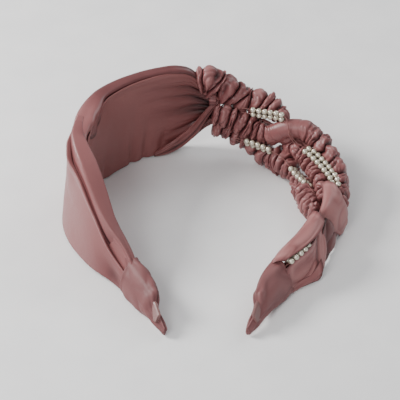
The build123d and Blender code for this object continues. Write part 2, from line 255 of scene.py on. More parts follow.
def smooth_net(net, along, across):
    """Grid of (s, off, z) drawn smoothly through a net of such points."""
    net = np.array(net, float)
    n, m = net.shape[:2]
    rows = np.stack([curve(np.column_stack([np.arange(n), net[:, j]]), np.linspace(0, n - 1, along))
                     for j in range(m)], 1)
    return np.stack([curve(np.column_stack([np.arange(m), row]), np.linspace(0, m - 1, across))
                     for row in rows])


# ---- materials -------------------------------------------------------------------------
def srgb(r, g, b):
    """Linear colour from the 0 to 255 values of a screen."""
    return [((c / 255 + 0.055) / 1.055) ** 2.4 if c > 10 else c / 3294.6 for c in (r, g, b)] + [1]


def node(tree, kind, **values):
    """New shader node, with its inputs' defaults or its own settings filled in."""
    made = tree.nodes.new(kind)
    for key, value in values.items():
        if key in made.inputs:
            made.inputs[key].default_value = value
        else:
            setattr(made, key, value)
    return made


def start_material(name, **shader):
    """Material with its node tree and its main shader, an input's name with _ for a space."""
    material = bpy.data.materials.new(name)
    material.use_nodes = True
    tree = material.node_tree
    principled = tree.nodes["Principled BSDF"]
    for key, value in shader.items():
        principled.inputs[key.replace("_", " ")].default_value = value
    return material, tree, principled


def ramp(tree, source, stops):
    """Colour ramp over a value, from (place, colour) stops."""
    made = tree.nodes.new("ShaderNodeValToRGB")
    made.color_ramp.elements[0].position, made.color_ramp.elements[0].color = stops[0]
    made.color_ramp.elements[1].position, made.color_ramp.elements[1].color = stops[-1]
    for place, colour in stops[1:-1]:
        made.color_ramp.elements.new(place).color = colour
    tree.links.new(source, made.inputs["Fac"])
    return made


def rough_ramp(tree, source, low, high):
    """Roughness over a value, from (place, roughness) at its low and at its high end."""
    return ramp(tree, source, [(place, [rough] * 3 + [1]) for place, rough in (low, high)])


def bump(tree, height, strength, distance, below=None):
    """Bump from a height, laid over another bump below it."""
    made = node(tree, "ShaderNodeBump", Strength=strength, Distance=distance)
    tree.links.new(height, made.inputs["Height"])
    if below:
        tree.links.new(below.outputs["Normal"], made.inputs["Normal"])
    return made


def satin(name, crease, body, crest, roughness=0.36):
    """Satin: painted shade in its creases and painted highlight on its crests, from the fold value, with
    fine threads and soft dents.
    """
    material, tree, shader = start_material(
        name, Specular_IOR_Level=0.42, Sheen_Weight=0.05, Sheen_Roughness=0.35,
        Sheen_Tint=srgb(240, 205, 200), Anisotropic=0.25)
    link = tree.links.new
    place = tree.nodes.new("ShaderNodeTexCoord").outputs["Object"]
    fold = node(tree, "ShaderNodeAttribute", attribute_name="fold")
    cloud = node(tree, "ShaderNodeTexNoise", Scale=70.0, Detail=3.0, Roughness=0.55)
    link(place, cloud.inputs["Vector"])
    # the fold value, which is painted light and shade, with soft clouds around it, half of them taken off
    # again
    cloudiness = 0.30
    mixed = node(tree, "ShaderNodeMath", operation="MULTIPLY_ADD")
    link(cloud.outputs["Fac"], mixed.inputs[0])
    mixed.inputs[1].default_value = cloudiness
    shifted = node(tree, "ShaderNodeMath", operation="ADD")
    link(fold.outputs["Fac"], shifted.inputs[0])
    shifted.inputs[1].default_value = -cloudiness / 2
    link(shifted.outputs[0], mixed.inputs[2])
    colour = ramp(tree, mixed.outputs[0], [(0.0, crease), (0.45, body), (1.0, crest)])
    link(colour.outputs["Color"], shader.inputs["Base Color"])
    rough = rough_ramp(tree, cloud.outputs["Fac"], (0.25, roughness - 0.05), (0.8, roughness + 0.1))
    link(rough.outputs["Color"], shader.inputs["Roughness"])
    dents = node(tree, "ShaderNodeTexNoise", Scale=260.0, Detail=4.0, Roughness=0.6)
    link(place, dents.inputs["Vector"])
    dented = bump(tree, dents.outputs["Fac"], strength=0.22, distance=0.0006)
    warp = node(tree, "ShaderNodeTexWave", Scale=820.0, Distortion=0.6, bands_direction="Z")
    weft = node(tree, "ShaderNodeTexWave", Scale=1500.0, Distortion=0.6, bands_direction="DIAGONAL")
    link(place, warp.inputs["Vector"])
    link(place, weft.inputs["Vector"])
    threads = node(tree, "ShaderNodeMath", operation="MULTIPLY")
    link(warp.outputs["Fac"], threads.inputs[0])
    link(weft.outputs["Fac"], threads.inputs[1])
    woven = bump(tree, threads.outputs[0], strength=0.16, distance=0.00008, below=dented)
    link(woven.outputs["Normal"], shader.inputs["Normal"])
    return material


def pearl_material():
    """Pearl coating: painted highlight where it faces the eye, painted shade greying its rim, with a
    clear coat.
    """
    material, tree, shader = start_material(
        "pearl", Metallic=0.45, Specular_IOR_Level=0.8, Coat_Weight=1.0, Coat_Roughness=0.05,
        Sheen_Weight=0.05)
    place = tree.nodes.new("ShaderNodeTexCoord").outputs["Object"]
    cloud = node(tree, "ShaderNodeTexNoise", Scale=420.0, Detail=2.0)
    tree.links.new(place, cloud.inputs["Vector"])
    facing = node(tree, "ShaderNodeLayerWeight", Blend=0.35)
    mix = node(tree, "ShaderNodeMath", operation="MULTIPLY_ADD")
    tree.links.new(cloud.outputs["Fac"], mix.inputs[0])
    mix.inputs[1].default_value = 0.5
    tree.links.new(facing.outputs["Facing"], mix.inputs[2])
    colour = ramp(tree, mix.outputs[0], [(0.2, srgb(232, 226, 208)), (0.6, srgb(186, 178, 156)),
                                         (1.0, srgb(110, 104, 88))])
    tree.links.new(colour.outputs["Color"], shader.inputs["Base Color"])
    rough = rough_ramp(tree, cloud.outputs["Fac"], (0.3, 0.14), (0.8, 0.26))
    tree.links.new(rough.outputs["Color"], shader.inputs["Roughness"])
    return material


def plain_material(name, low, high, scale, rough, depth):
    """Moulded or spun material with mottled colour and a fine uneven surface."""
    material, tree, principled = start_material(name)
    place = tree.nodes.new("ShaderNodeTexCoord").outputs["Object"]
    cloud = node(tree, "ShaderNodeTexNoise", Scale=scale, Detail=4.0)
    tree.links.new(place, cloud.inputs["Vector"])
    colour = ramp(tree, cloud.outputs["Fac"], [(0.3, low), (0.7, high)])
    tree.links.new(colour.outputs["Color"], principled.inputs["Base Color"])
    uneven = rough_ramp(tree, cloud.outputs["Fac"], (0.3, rough - 0.06), (0.7, rough + 0.06))
    tree.links.new(uneven.outputs["Color"], principled.inputs["Roughness"])
    dent = bump(tree, cloud.outputs["Fac"], strength=0.3, distance=depth)
    tree.links.new(dent.outputs["Normal"], principled.inputs["Normal"])
    return material


# name, colour of the painted shade in a crease, of the cloth's body, and of the painted highlight on a
# crest, and roughness
SATIN = satin("satin", srgb(32, 8, 11), srgb(112, 64, 65), srgb(134, 84, 84))
LINING = satin("satin_lining", srgb(26, 4, 7), srgb(110, 60, 59), srgb(140, 88, 86), 0.42)
# a paler copy of the satin: painted light for the lit straps on the braid's leg
PAINTED_LIGHT_STRAPS = satin("satin_strap_painted_light", srgb(32, 8, 11), srgb(134, 82, 82), srgb(162, 110, 108), 0.42)
RUCHED = satin("satin_ruched", srgb(24, 4, 8), srgb(116, 66, 67), srgb(152, 101, 100), 0.34)
# a darker copy of the satin: painted shade for the sleeves
SLEEVES = satin("satin_sleeve", srgb(24, 6, 9), srgb(106, 62, 63), srgb(128, 82, 82), 0.52)
PEARL = pearl_material()
# name, darker and paler colour, scale of the mottling, roughness, depth of the unevenness in metres
THREAD = plain_material("thread", srgb(112, 66, 64), srgb(140, 90, 86), 900.0, 0.45, 0.00005)
HOOP = plain_material("hoop_plastic", srgb(118, 84, 82), srgb(132, 96, 94), 160.0, 0.4, 0.00004)
FLOOR = plain_material("floor", srgb(238, 238, 239), srgb(244, 244, 244), 40.0, 0.6, 0.00003)


def soft(obj, material, replaces, body=None):
    """Material of one satin piece, hiding the CAD parts it replaces; it rides on a body or has its place
    baked into its mesh.
    """
    obj.data.materials.append(material)
    if replaces:
        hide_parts(*replaces)
    if body:
        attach(obj, body)
    else:
        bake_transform(obj)
    return obj


# ---- wide half -------------------------------------------------------------------------
# s, lower edge, upper edge, how far the cover stands off the strip
EDGE = ((-172, 3.2, 13.2, 0.0), (-161, 2.0, 14.5, 0.0), (-157, 1.8, 17.0, 0.0), (-145, 2.2, 25.0, 0.0),
        (-130, 1.8, 34.5, 0.1), (-110, 0.8, 45.5, 0.5), (-95, 0.6, 50.0, 0.9), (-80, 0.6, 51.8, 1.2),
        (-60, 0.6, 52.8, 0.9), (-40, 0.6, 53.3, 0.3), (-25, 1.4, 53.4, 0.1), (-14, 3.4, 52.8, 0.0),
        (-8, 7.0, 50.5, 0.0), (-4, 10.5, 46.5, 0.0), (0, 14.0, 41.0, 0.2), (4, 17.0, 36.5, 0.4),
        (7, 18.5, 34.5, 0.4))
# s, how far inside the upper edge the cover turns, and how deep it reaches down there
RIM = ((-172, 0.8, 3.0), (-157, 1.6, 3.2), (-140, 2.4, 3.6), (-125, 2.2, 3.6), (-112, 1.2, 3.4),
       (-100, 0.2, 3.4), (-92, 0.6, 4.0), (-86, 2.2, 8.0), (-79, 3.3, 13.0), (-72, 3.3, 11.0),
       (-66, 2.6, 6.0), (-60, 1.4, 4.4), (-50, 1.2, 4.6), (-16, 1.4, 5.0), (7, 1.3, 4.0))
# s, share of their thickness that the layers keep
SQUEEZE = ((-172, 0.5), (-161, 0.55), (-154, 0.72), (-146, 0.86), (-130, 1.0), (-8, 1.0), (0, 0.9),
           (7, 0.8))
PANEL_TIP, PANEL_CROWN = -172, 7.01
LOWEST = 0.45                                    # middle of the cloth where it lies on the floor


def settled(s, off, z):
    """Layers squeezed at the ends and leaned with the band."""
    return at(s, off * column(SQUEEZE, s) + lean_of(s) * (z - middle_height(s)), z)


def section(places, heights, v):
    """A cross section through the places at shares v of the way along it, row by row."""
    return np.stack([column(np.column_stack([places, row]), v) for row in np.hstack(heights)])


def make_cover():
    """The panel's outer face, turned in over its upper edge."""
    s = np.arange(PANEL_TIP, PANEL_CROWN, 0.9)[:, None]
    low, high, puff = columns(EDGE, s)
    out, tall = -3.0 - puff, high - low
    turned, deep = column(RIM, s), np.minimum(column(RIM, s, 1), 0.3 * tall)
    # where the section passes: share of the way from the outside (0) to the turned-in edge (1)
    shares = np.array([0, 0.12, 0.30, 0.48, 0.64, 0.76, 0.84, 0.91, 0.96, 1.0])
    offs = [out + 0.5, out - 0.1, out - 0.4, out - 0.3, out, out + 0.3, (out + turned) / 2, turned,
            turned, turned - 0.4]
    rise = [low, low + 0.10 * tall, low + 0.34 * tall, low + 0.6 * tall, low + 0.82 * tall, high - 0.9,
            high, high - 0.8, high - 0.5 * deep, high - deep]
    v = np.linspace(0, 1, 90)
    off, z = section(shares, offs, v), section(shares, rise, v)
    # folds gathered at the crown and drawn into the tip, on the outer face only
    crown, tip = fade(s, -34, 36) ** 1.6, fade(-s, 138, 26)
    outer_face = v < 0.8
    lanes = field(s * 0.02, v * 9.0, 3.0 + 0 * v)
    gather = crinkle(lanes) - 0.6
    off = off - gather * crown * 1.5 * outer_face + noise(lanes * 0.6) * tip * 0.8 * outer_face
    drape = noise(field(s * 0.03, v * 1.6, 7.0 + 0 * v))
    off = off + drape * 0.7 * (1 - crown) * bell(v, 0.35, 0.28)
    # the corner turned in at the shoulder is pinched into small folds
    pinch = crinkle(field(s * 0.11 + v * 6, v * 9.0, 2.0 + 0 * v), 0.9) - 0.4
    off = off + pinch * 1.1 * bell(s, -76, 11) * fade(v, 0.84, 0.06)
    # painted shade between the gathered folds, at the cut edge, and inside the rim towards the crown
    shade = 1 - 0.65 * crown * (1 - np.clip((gather + 0.6) * 1.6, 0, 1))
    shade = shade * (1 - 0.75 * bell(v, 1.0, 0.03))
    shade = shade - 0.62 * fade(v, 0.68, 0.1) * fade(s, -74, 12)
    obj = cloth("satin_cover", settled(s + 0 * v, off, np.maximum(z, LOWEST)), shade, 0.8)
    return soft(obj, SATIN, ["wide_cover"])


# s, height of the outer fold's upper edge
OUTER_FOLD = ((-172, 7.0), (-162, 9.6), (-157, 11.0), (-151, 13.8), (-145, 17.8), (-140, 22.4),
              (-135, 27.2), (-130, 31.2), (-118, 38.6), (-110, 41.0), (-103, 43.2), (-99, 46.2),
              (-95, 48.6), (-84, 50.6), (-76, 51.4))
# s, how far the middle fold reaches inwards over the leg's upper edge
REACH = ((-172, 0.6), (-162, 0.8), (-155, 1.6), (-148, 3.0), (-142, 5.4), (-136, 6.6), (-110, 6.6),
         (-98, 5.4), (-88, 3.6), (-80, 2.0))
FOLD_WALL = 0.6
MOUTH = -102                                     # where the outer fold stands open


def outer_fold(s, v, low, edge, base, joined):
    """Rounded upper edge that stands open where the fold leaves the shoulder."""
    rounding = 0.92
    z = low + (edge - low) * np.clip(v / rounding, 0, 1) - 1.3 * fade(v, rounding, 0.08)
    under = fade(v, rounding, 0.04)
    mouth = bell(s, MOUTH, 8) * 1.6 * fade(v, 0.5, 0.3)
    off = base - bell(v, rounding, 0.07) * (1 - joined) - mouth * (1 - under * 0.3) + under * 0.9
    # painted shade on the underside past the rounded edge
    shade = 1 - 0.95 * fade(v, 0.945, 0.03)
    return off, z, shade


def middle_fold(s, v, low, high, outer_edge, base):
    """Runs on over the leg's upper edge, with painted shade at its own edge and a painted shadow just
    above the outer fold.
    """
    reach = column(REACH, s)
    over = fade(v, 0.62, 0.34)
    z = low + (high + 0.6 - low) * np.sin(np.clip(v / 0.70, 0, 1) * np.pi / 2) ** 0.9
    z = z - 0.12 * reach * over ** 2 - 0.9 * fade(v, 0.96, 0.04)
    off = base + reach * over ** 1.3
    shade = 1 - 0.9 * fade(v, 0.975, 0.02) - 0.8 * bell(z, outer_edge + 0.5, 0.7) * (s < -84)
    return off, z, shade


def make_leg_fold(name, rank, node_name):
    """One fold of the cover laid along the leg: rank 1 is the middle one, rank 2 the outer."""
    s = np.arange(-170, -76 - 4 * rank, 0.8)[:, None]
    v = np.linspace(0, 1, 110)
    low, high, puff = columns(EDGE, s)
    outer_edge = np.minimum(column(OUTER_FOLD, s), high + 0.4)
    base = -3.9 - puff - 0.9 * (rank - 1)
    # how far the fold has merged into the cover at the shoulder
    joined = fade(s, -90 - 3 * rank, 12)
    if rank == 2:
        off, z, shade = outer_fold(s, v, low, outer_edge, base, joined)
    else:
        off, z, shade = middle_fold(s, v, low, high, outer_edge, base)
    off = off + joined * (0.9 * rank + 0.9) - 0.5 * np.sin(np.pi * np.clip(v / 0.84, 0, 1))
    dimple = field(s * 0.035, v * 1.6, rank * 5.0 + 0 * v)
    off = off + noise(dimple) * 0.7 + fade(-s, 150, 14) * noise(dimple * 4) * 0.8
    # the leg hollows where it is drawn into the sleeve, with painted shade there and low down
    hollow = bell(v, 0.35, 0.3)
    off = off + 2.0 * bell(s, -150, 8) * hollow
    shade = shade - 0.45 * bell(s, -151, 8) * hollow
    shade = shade - 0.45 * fade(-s, 118, 30) * np.clip(1.1 - v * 1.5, 0, 1)
    obj = cloth(name, settled(s + 0 * v, off, np.maximum(z, LOWEST)), shade, FOLD_WALL)
    return soft(obj, SATIN, [node_name])


# s, height of the lining's upper edge
LINING_TOP = ((-157, 15.0), (-145, 22.5), (-130, 31.5), (-110, 42.5), (-95, 47.0), (-80, 49.3),
              (-64, 50.4), (-50, 51.2), (-36, 51.9), (-24, 52.0), (-16, 51.2), (-8, 48.6), (-4, 45.0),
              (0, 40.6), (3, 37.4), (7, 34.0))
# creases rising from the lower edge: s of the foot, mm of s from foot to top, depth
LINING_CREASES = ((-36, 9, 1.3), (-44, 7, 1.2), (-27, 16, 0.7), (-64, 3, 0.6))


def make_lining():
    """The panel's concave face, gathered towards the crown."""
    s = np.arange(-157, PANEL_CROWN, 0.8)[:, None]
    low, high = column(EDGE, s) + 0.2, column(LINING_TOP, s)
    v = np.linspace(0, 1, 110)
    near = fade(s, -46, 48)
    gather = crinkle(field(s * 0.016, v * 3.6, 1.0 + 0 * v), 0.9)
    fine = crinkle(field(s * 0.05, v * 16.0, 9.0 + 0 * v))
    off = 2.1 + 0 * s * v
    off = off + (gather - 0.55) * 2.8 * near ** 1.8 + (fine - 0.55) * 0.9 * near ** 3
    # broad soft waves
    broad = noise(field(s * 0.035, v * 1.1, 21.0 + 0 * v))
    off = off + broad * 1.8 * np.sin(np.pi * np.clip(v, 0, 1)) * fade(-s, 4, 20)
    for place, slope, depth in LINING_CREASES:
        off = off - depth * bell(s, place + slope * v, 1.7 + 3 * v) * bell(v, 0.0, 0.34)
    # the upper edge follows the cover's turned-in rim
    rim = np.clip(column(RIM, s) - 1.5, -2.8, 0)
    off = off + 0.4 * bell(v, 1.0, 0.05) + rim * fade(v, 0.5, 0.5) ** 1.5
    # painted shade near the gather, deepest between its folds, and a painted highlight along the upper
    # edge
    shade = 1 - 0.55 * near ** 1.4 * (1 - np.clip(gather * 1.3, 0, 1)) - 0.62 * near ** 1.3
    shade = shade + 0.35 * bell(v, 0.985, 0.02)
    obj = cloth("satin_lining", settled(s + 0 * v, off, low + (high - low) * v), shade, FOLD_WALL)
    return soft(obj, LINING, ["wide_lining"])


# s, off, z of the rolled fold's middle, its half width and its half height
ROLL = ((-30, 3.4, 1.9, 0.9, 1.2), (-26, 3.9, 3.2, 1.6, 2.2), (-18, 4.6, 6.6, 1.9, 3.4),
        (-9, 4.8, 13.4, 2.1, 4.0), (-4, 4.6, 19.2, 2.1, 3.9), (0, 4.0, 24.6, 1.9, 3.4),
        (4, 3.0, 29.4, 1.6, 2.6), (7, 2.2, 31.6, 1.2, 1.8))


def make_roll():
    """Double rolled fold of the lining running down from the gather."""
    s = np.linspace(-30, 7, 90)[:, None]
    off, z, wide, tall = columns(ROLL, s)
    turn = np.linspace(0, 2 * np.pi, 56, endpoint=False)
    # a deep groove on the head's side parts the two rolls, and a shallow one lies above it
    lobes = 1 - 0.34 * bell(turn, 6.10, 0.34) - 0.34 * bell(turn, -0.18, 0.34)
    lobes = lobes - 0.16 * bell(turn, 0.75, 0.2)
    ridge = crinkle(field(s * 0.05, np.cos(turn) * 1.6, np.sin(turn) * 1.6))
    size = lobes * (0.88 + 0.2 * ridge)
    rings = at(s + 0 * turn, off + wide * size * np.cos(turn), z + tall * size * np.sin(turn))
    hollow = at(s + 0 * turn, off + 0.5 * wide * np.cos(turn), z + 0.5 * tall * np.sin(turn))
    # painted shade in the grooves and creases, and more towards the crown
    shade = np.clip((lobes - 0.55) * 2.0, 0.1, 1) * (0.55 + 0.45 * ridge)
    shade = shade * (1 - 0.45 * np.clip(s / 8, 0, 1))
    obj = lined("satin_roll", rings, hollow, shade + 0 * s)
    return soft(obj, LINING, ["lining_roll"])


# ---- ruched strands ----------------------------------------------------------------------
def crease_line(start, end, widths, seed):
    """Places of creases along a strand, unevenly spaced, with a slant for each."""
    rng = np.random.default_rng(seed)
    places = [start]
    while places[-1] < end - 1.5:
        places.append(places[-1] + float(column(widths, places[-1])) * rng.uniform(0.7, 1.35))
    places[-1] = end
    return np.array(places), rng.normal(0, 0.55, len(places))


def ring_noise(turn, scale, index, seed):
    """Smooth random value all round a strand, another for each index."""
    circle = np.stack([np.cos(turn), np.sin(turn)], -1) * scale
    return noise(np.column_stack([circle, np.full(len(turn), index * 3.7 + seed * 9.1)]))


def hump_rows(turn, creases, slants, seed, rows):
    """Rows of s, lift and painted shade: a rounded hump, cut by small tucks, between creases."""
    rng = np.random.default_rng(seed)
    last = len(creases) - 1
    lines = []
    for i, (place, slant) in enumerate(zip(creases, slants)):
        gap = min(creases[min(i + 1, last)] - creases[max(i - 1, 0)], 12) / 2
        ends = 0.0 if i in (0, last) else 1.0
        lines.append(place + ends * (slant * np.sin(turn) + ring_noise(turn, 0.8, i, seed) * gap * 0.30))
    sink = [1.5 * (1 + 0.5 * ring_noise(turn, 0.9, i + 40, seed)) * rng.uniform(0.75, 1.25)
            for i in range(len(creases))]
    s_rows, lift_rows, painted_shade_rows = [], [], []
    for i in range(last):
        swell = rng.uniform(0.4, 1.5) * (1 + 0.8 * ring_noise(turn, 1.1, i + 80, seed))
        tucks = [(rng.uniform(0.25, 0.75), rng.uniform(0, 2 * np.pi), rng.uniform(0.4, 1.1),
                  rng.uniform(-0.18, 0.18)) for _ in range(3)]
        for t in np.linspace(0, 1, rows, endpoint=i == last - 1):
            hump = np.sin(np.pi * t) ** 0.75 if 0 < t < 1 else 0.0
            share = 0.55 * (1 - math.cos(math.pi * t)) / 2 + 0.45 * t
            lift = -(sink[i] * (1 - t) + sink[i + 1] * t) * (1 - hump) + swell * hump
            # painted shade in the creases and tucks
            shade = 0.02 + 0.98 * hump ** 1.6 + 0 * turn
            for place, angle, spread, lean in tucks:
                away = folded_angle(turn - angle)
                tuck = bell(t, place + lean * away, 0.07) * bell(away, 0, spread)
                lift = lift - 1.1 * tuck * hump
                shade = shade * (1 - 0.75 * tuck)
            s_rows.append(lines[i] * (1 - share) + lines[i + 1] * share)
            lift_rows.append(lift)
            painted_shade_rows.append(shade)
    return np.array(s_rows), np.array(lift_rows), np.array(painted_shade_rows)


def strand_axes(table, mid):
    """The strand's middle line, and its directions ahead, towards the head and upwards."""
    off, z = columns(table, mid)[:2]
    line = at(mid, off, z)
    ahead = np.gradient(line, mid, axis=0)
    ahead /= np.linalg.norm(ahead, axis=1, keepdims=True)
    inward = at(mid, off + 1, line[:, 2]) - line
    inward -= ahead * np.sum(inward * ahead, 1, keepdims=True)
    inward /= np.linalg.norm(inward, axis=1, keepdims=True)
    upward = np.cross(inward, ahead)
    upward *= np.sign(upward[:, 2:3] + 1e-9)
    return line, ahead, inward, upward


def ruched(name, table, creases, slants, depth, seed, rows=18):
    """Gathered satin tube: rounded humps between sharp creases, with finer folds on them."""
    around = 90
    cloth_depth, least_core, lowest = 2.8, 0.7, 0.25
    turn = np.linspace(0, 2 * np.pi, around, endpoint=False)
    s, lift, shade = hump_rows(turn, creases, slants, seed, rows)
    strength = column(depth, s)
    row = np.arange(len(s))[:, None] / rows
    fine = crinkle(field(row * 2.6, np.cos(turn) * 1.5, np.sin(turn) * 1.5 + seed))
    lift = strength * (lift + (fine - 0.6) * 0.7)
    ruching = np.clip(strength, 0, 1)
    # painted shade in the creases, and more where the ruching is weak
    shade = (1 - ruching * (1 - shade * (0.62 + 0.38 * fine))) * (0.62 + 0.38 * ruching)
    wide, tall = columns(table, s)[2:]
    mid = s.mean(1)
    line, ahead, inward, upward = strand_axes(table, mid)
    core = [np.maximum(half - cloth_depth, least_core) for half in (wide, tall)]

    def laid(s, wide, tall):
        rings = (line[:, None] + (s - mid[:, None])[..., None] * ahead[:, None]
                 + (wide * np.cos(turn))[..., None] * inward[:, None]
                 + (tall * np.sin(turn))[..., None] * upward[:, None])
        rings[..., 2] = np.maximum(rings[..., 2], lowest)
        return rings
    outside = laid(s, np.maximum(wide + lift, core[0] + 0.3), np.maximum(tall + lift, core[1] + 0.3))
    inside = laid(np.repeat(mid[:, None], around, 1), *core)[::4]
    return lined(name, outside, inside, shade)


# s, off, z of each strand's middle, its half thickness and its half height
UPPER = ((5.5, -2.0, 37.0, 3.5, 6.0), (9, -2.4, 36.6, 5.2, 8.2), (13, -2.6, 34.8, 5.6, 8.2),
         (19, -2.8, 32.0, 5.6, 7.6), (26, -2.8, 31.6, 5.4, 7.0), (33, -2.4, 31.0, 5.0, 6.2),
         (39, -1.4, 29.8, 4.4, 5.2), (43, 0.2, 27.6, 3.4, 4.2), (46, 3.1, 21.6, 3.0, 4.8),
         (50, 4.1, 17.0, 3.1, 4.8), (60, 4.4, 16.2, 3.2, 4.4), (70, 4.8, 14.2, 3.5, 4.4),
         (80, 4.8, 13.2, 3.7, 4.4), (90, 4.8, 12.8, 3.6, 4.2), (100, 4.0, 12.6, 2.6, 3.4))
MIDDLE = ((3.4, 4.6, 26.0, 2.4, 4.6), (7, 4.8, 25.2, 4.2, 6.6), (11, 4.8, 24.4, 4.6, 6.8),
          (18, 4.8, 22.4, 4.4, 6.8), (26, 5.0, 20.0, 4.0, 6.4), (34, 5.8, 18.8, 3.6, 5.8),
          (39, 6.0, 20.0, 3.8, 5.6), (43, 5.4, 22.8, 4.2, 5.4), (47, 3.6, 25.4, 4.6, 5.2),
          (52, 0.8, 26.6, 5.0, 5.2), (57, -1.6, 26.4, 5.0, 5.6), (62, -2.8, 24.4, 4.6, 5.8),
          (70, -4.0, 21.0, 4.2, 6.4), (80, -4.6, 17.0, 4.0, 7.0), (88, -4.6, 14.0, 3.8, 6.8),
          (96, -3.8, 11.4, 3.2, 6.0), (102, -3.2, 10.4, 2.4, 4.8))
LOWER = ((3.4, 3.4, 17.4, 2.4, 3.6), (7, 3.8, 16.6, 3.6, 4.6), (12, 4.0, 15.2, 4.0, 4.8),
         (20, 4.2, 12.6, 4.2, 5.0), (27, 5.6, 9.8, 4.2, 4.8), (31, 6.6, 8.0, 4.0, 4.4),
         (36, 7.6, 6.8, 5.0, 5.4), (44, 8.0, 6.8, 5.5, 6.3), (49, 7.8, 7.6, 5.6, 7.0),
         (54, 8.7, 7.0, 5.0, 6.0), (62, 9.8, 5.6, 3.6, 4.2), (70, 11.2, 4.8, 3.4, 3.8),
         (78, 12.4, 5.2, 3.8, 4.6), (86, 13.0, 6.6, 4.8, 6.0), (94, 12.6, 7.2, 4.8, 6.4),
         (102, 10.8, 8.2, 4.0, 5.8), (109, 8.2, 9.6, 2.6, 4.2))
KNOT = ((-5.4, -1.8, 42.0, 1.6, 2.8), (-3.6, -1.8, 42.4, 4.4, 6.0), (-1.2, -1.6, 42.8, 5.2, 7.2),
        (1.6, -1.4, 43.0, 5.6, 8.2), (4.2, -1.6, 41.0, 5.2, 8.2), (6.4, -1.8, 39.4, 3.0, 5.4))
# the upper strand's large puffs beside the knot: s of each crease, and its slant
PUFF_CREASES = (5.5, 12.2, 17.6, 23.0, 28.6, 33.4, 38.2, 43.6)
PUFF_SLANTS = (0, 2.0, 3.0, 1.6, 2.4, 1.4, 1.2, 0.4)
# s, distance between creases
UPPER_SPACING = ((43, 4.4), (100, 4.6))
MIDDLE_SPACING = ((3, 4.2), (24, 4.4), (34, 4.8), (55, 5.5), (62, 6.4), (80, 7.0), (102, 6.0))
LOWER_SPACING = ((3, 4.8), (30, 5.6), (60, 4.6), (80, 6.0), (109, 5.0))
# s, strength of the ruching; the middle strand is smooth where it crosses over
UPPER_DEPTH = ((6, 1.3), (40, 1.1), (46, 0.6), (60, 1.0), (100, 1.0))
MIDDLE_DEPTH = ((3, 1.3), (30, 1.3), (37, 0.8), (42, 0.14), (54, 0.12), (58, 0.5), (62, 1.1), (68, 1.25),
                (102, 1.2))
LOWER_DEPTH = ((3, 1.3), (109, 1.35))
KNOT_DEPTH = ((-8, 1.2), (8, 1.2))


def make_braid():
    """The three strands, each in the finish and the place of its strand and elastic."""
    more, more_slants = crease_line(PUFF_CREASES[-1], 100.0, UPPER_SPACING, 5)
    upper = ruched("satin_strand_upper", UPPER, np.append(PUFF_CREASES, more[1:]),
                   np.append(PUFF_SLANTS, more_slants[1:]), UPPER_DEPTH, 3)
    places, slants = crease_line(3.4, 102.0, MIDDLE_SPACING, 8)
    middle = ruched("satin_strand_middle", MIDDLE, places, slants * 1.5, MIDDLE_DEPTH, 17)
    places, slants = crease_line(3.4, 109.0, LOWER_SPACING, 21)
    lower = ruched("satin_strand_lower", LOWER, places, slants * 1.5, LOWER_DEPTH, 29)
    for obj, name, length in ((upper, "upper", 0.106), (middle, "middle", 0.124),
                              (lower, "lower", 0.102)):
        soft(obj, RUCHED, [f"strand_{name}", f"elastic_{name}"])


def make_knot():
    """Short ruched knot of three puffs over the crown."""
    obj = ruched("satin_knot", KNOT, np.array([-5.4, -0.9, 3.4, 6.4]), np.array([0, 0.5, 0.9, 0]),
                 KNOT_DEPTH, 41, rows=24)
    return soft(obj, RUCHED, ["crown_knot"])


def make_binding():
    """Narrow gathered band that holds the panel's end at the crown."""
    middle_s, middle_off, middle_z = 3.6, -0.4, 30.6
    half_width, half_depth, half_height, band = 2.0, 3.4, 5.8, 0.6
    turn = np.linspace(0, 2 * np.pi, 150, endpoint=False)[:, None]
    t = np.linspace(0, 2 * np.pi, 14, endpoint=False)
    ridge = crinkle(np.concatenate([np.cos(turn) * 7, np.sin(turn) * 7, 0 * turn], 1))[:, None]
    thick = 0.45 + 0.35 * ridge
    off = middle_off + half_depth * np.cos(turn) + thick * np.cos(turn)
    z = middle_z + half_height * np.sin(turn) + thick * np.sin(turn)
    rings = at(middle_s + half_width * np.cos(t) + 0 * turn, off + band * np.cos(turn) * np.sin(t),
               z + band * np.sin(turn) * np.sin(t))
    # painted shade in the binding's creases
    obj = tube("satin_binding", rings, ridge * 0.8 + 0 * t, loop=True)
    return soft(obj, RUCHED, ["gather_binding"])


# ---- satin wound round the strip under the braid ------------------------------------------
def make_wrap():
    """Overlapping turns of satin round the strip, thicker at the middle of each turn."""
    least_height, least_face = 4.0, 0.9
    s = np.arange(9.2, 158.2, 0.5)[:, None]
    turn = np.linspace(0, 2 * np.pi, 36, endpoint=False)
    wound = np.abs(np.sin(s * 0.5 + turn / 2)) ** 0.4
    half, face = least_height + 0.5 * wound, least_face + 0.55 * wound
    rise = half * signed_power(np.sin(turn), 0.6)
    across = face * signed_power(np.cos(turn), 0.45)
    outside = at(s + 0 * turn, across + lean_of(s) * rise, middle_height(s) + rise)
    # the inside keeps just clear of the strip
    rise, across = rise * (least_height + 0.1) / half, across * (least_face + 0.07) / face
    inside = at(s + 0 * turn, across + lean_of(s) * rise, middle_height(s) + rise)[::6]
    # painted shade where the turns are thin, between their middles
    obj = lined("satin_wrap", outside, inside, 0.35 + 0.65 * wound)
    return soft(obj, LINING, ["hoop_wrap"])


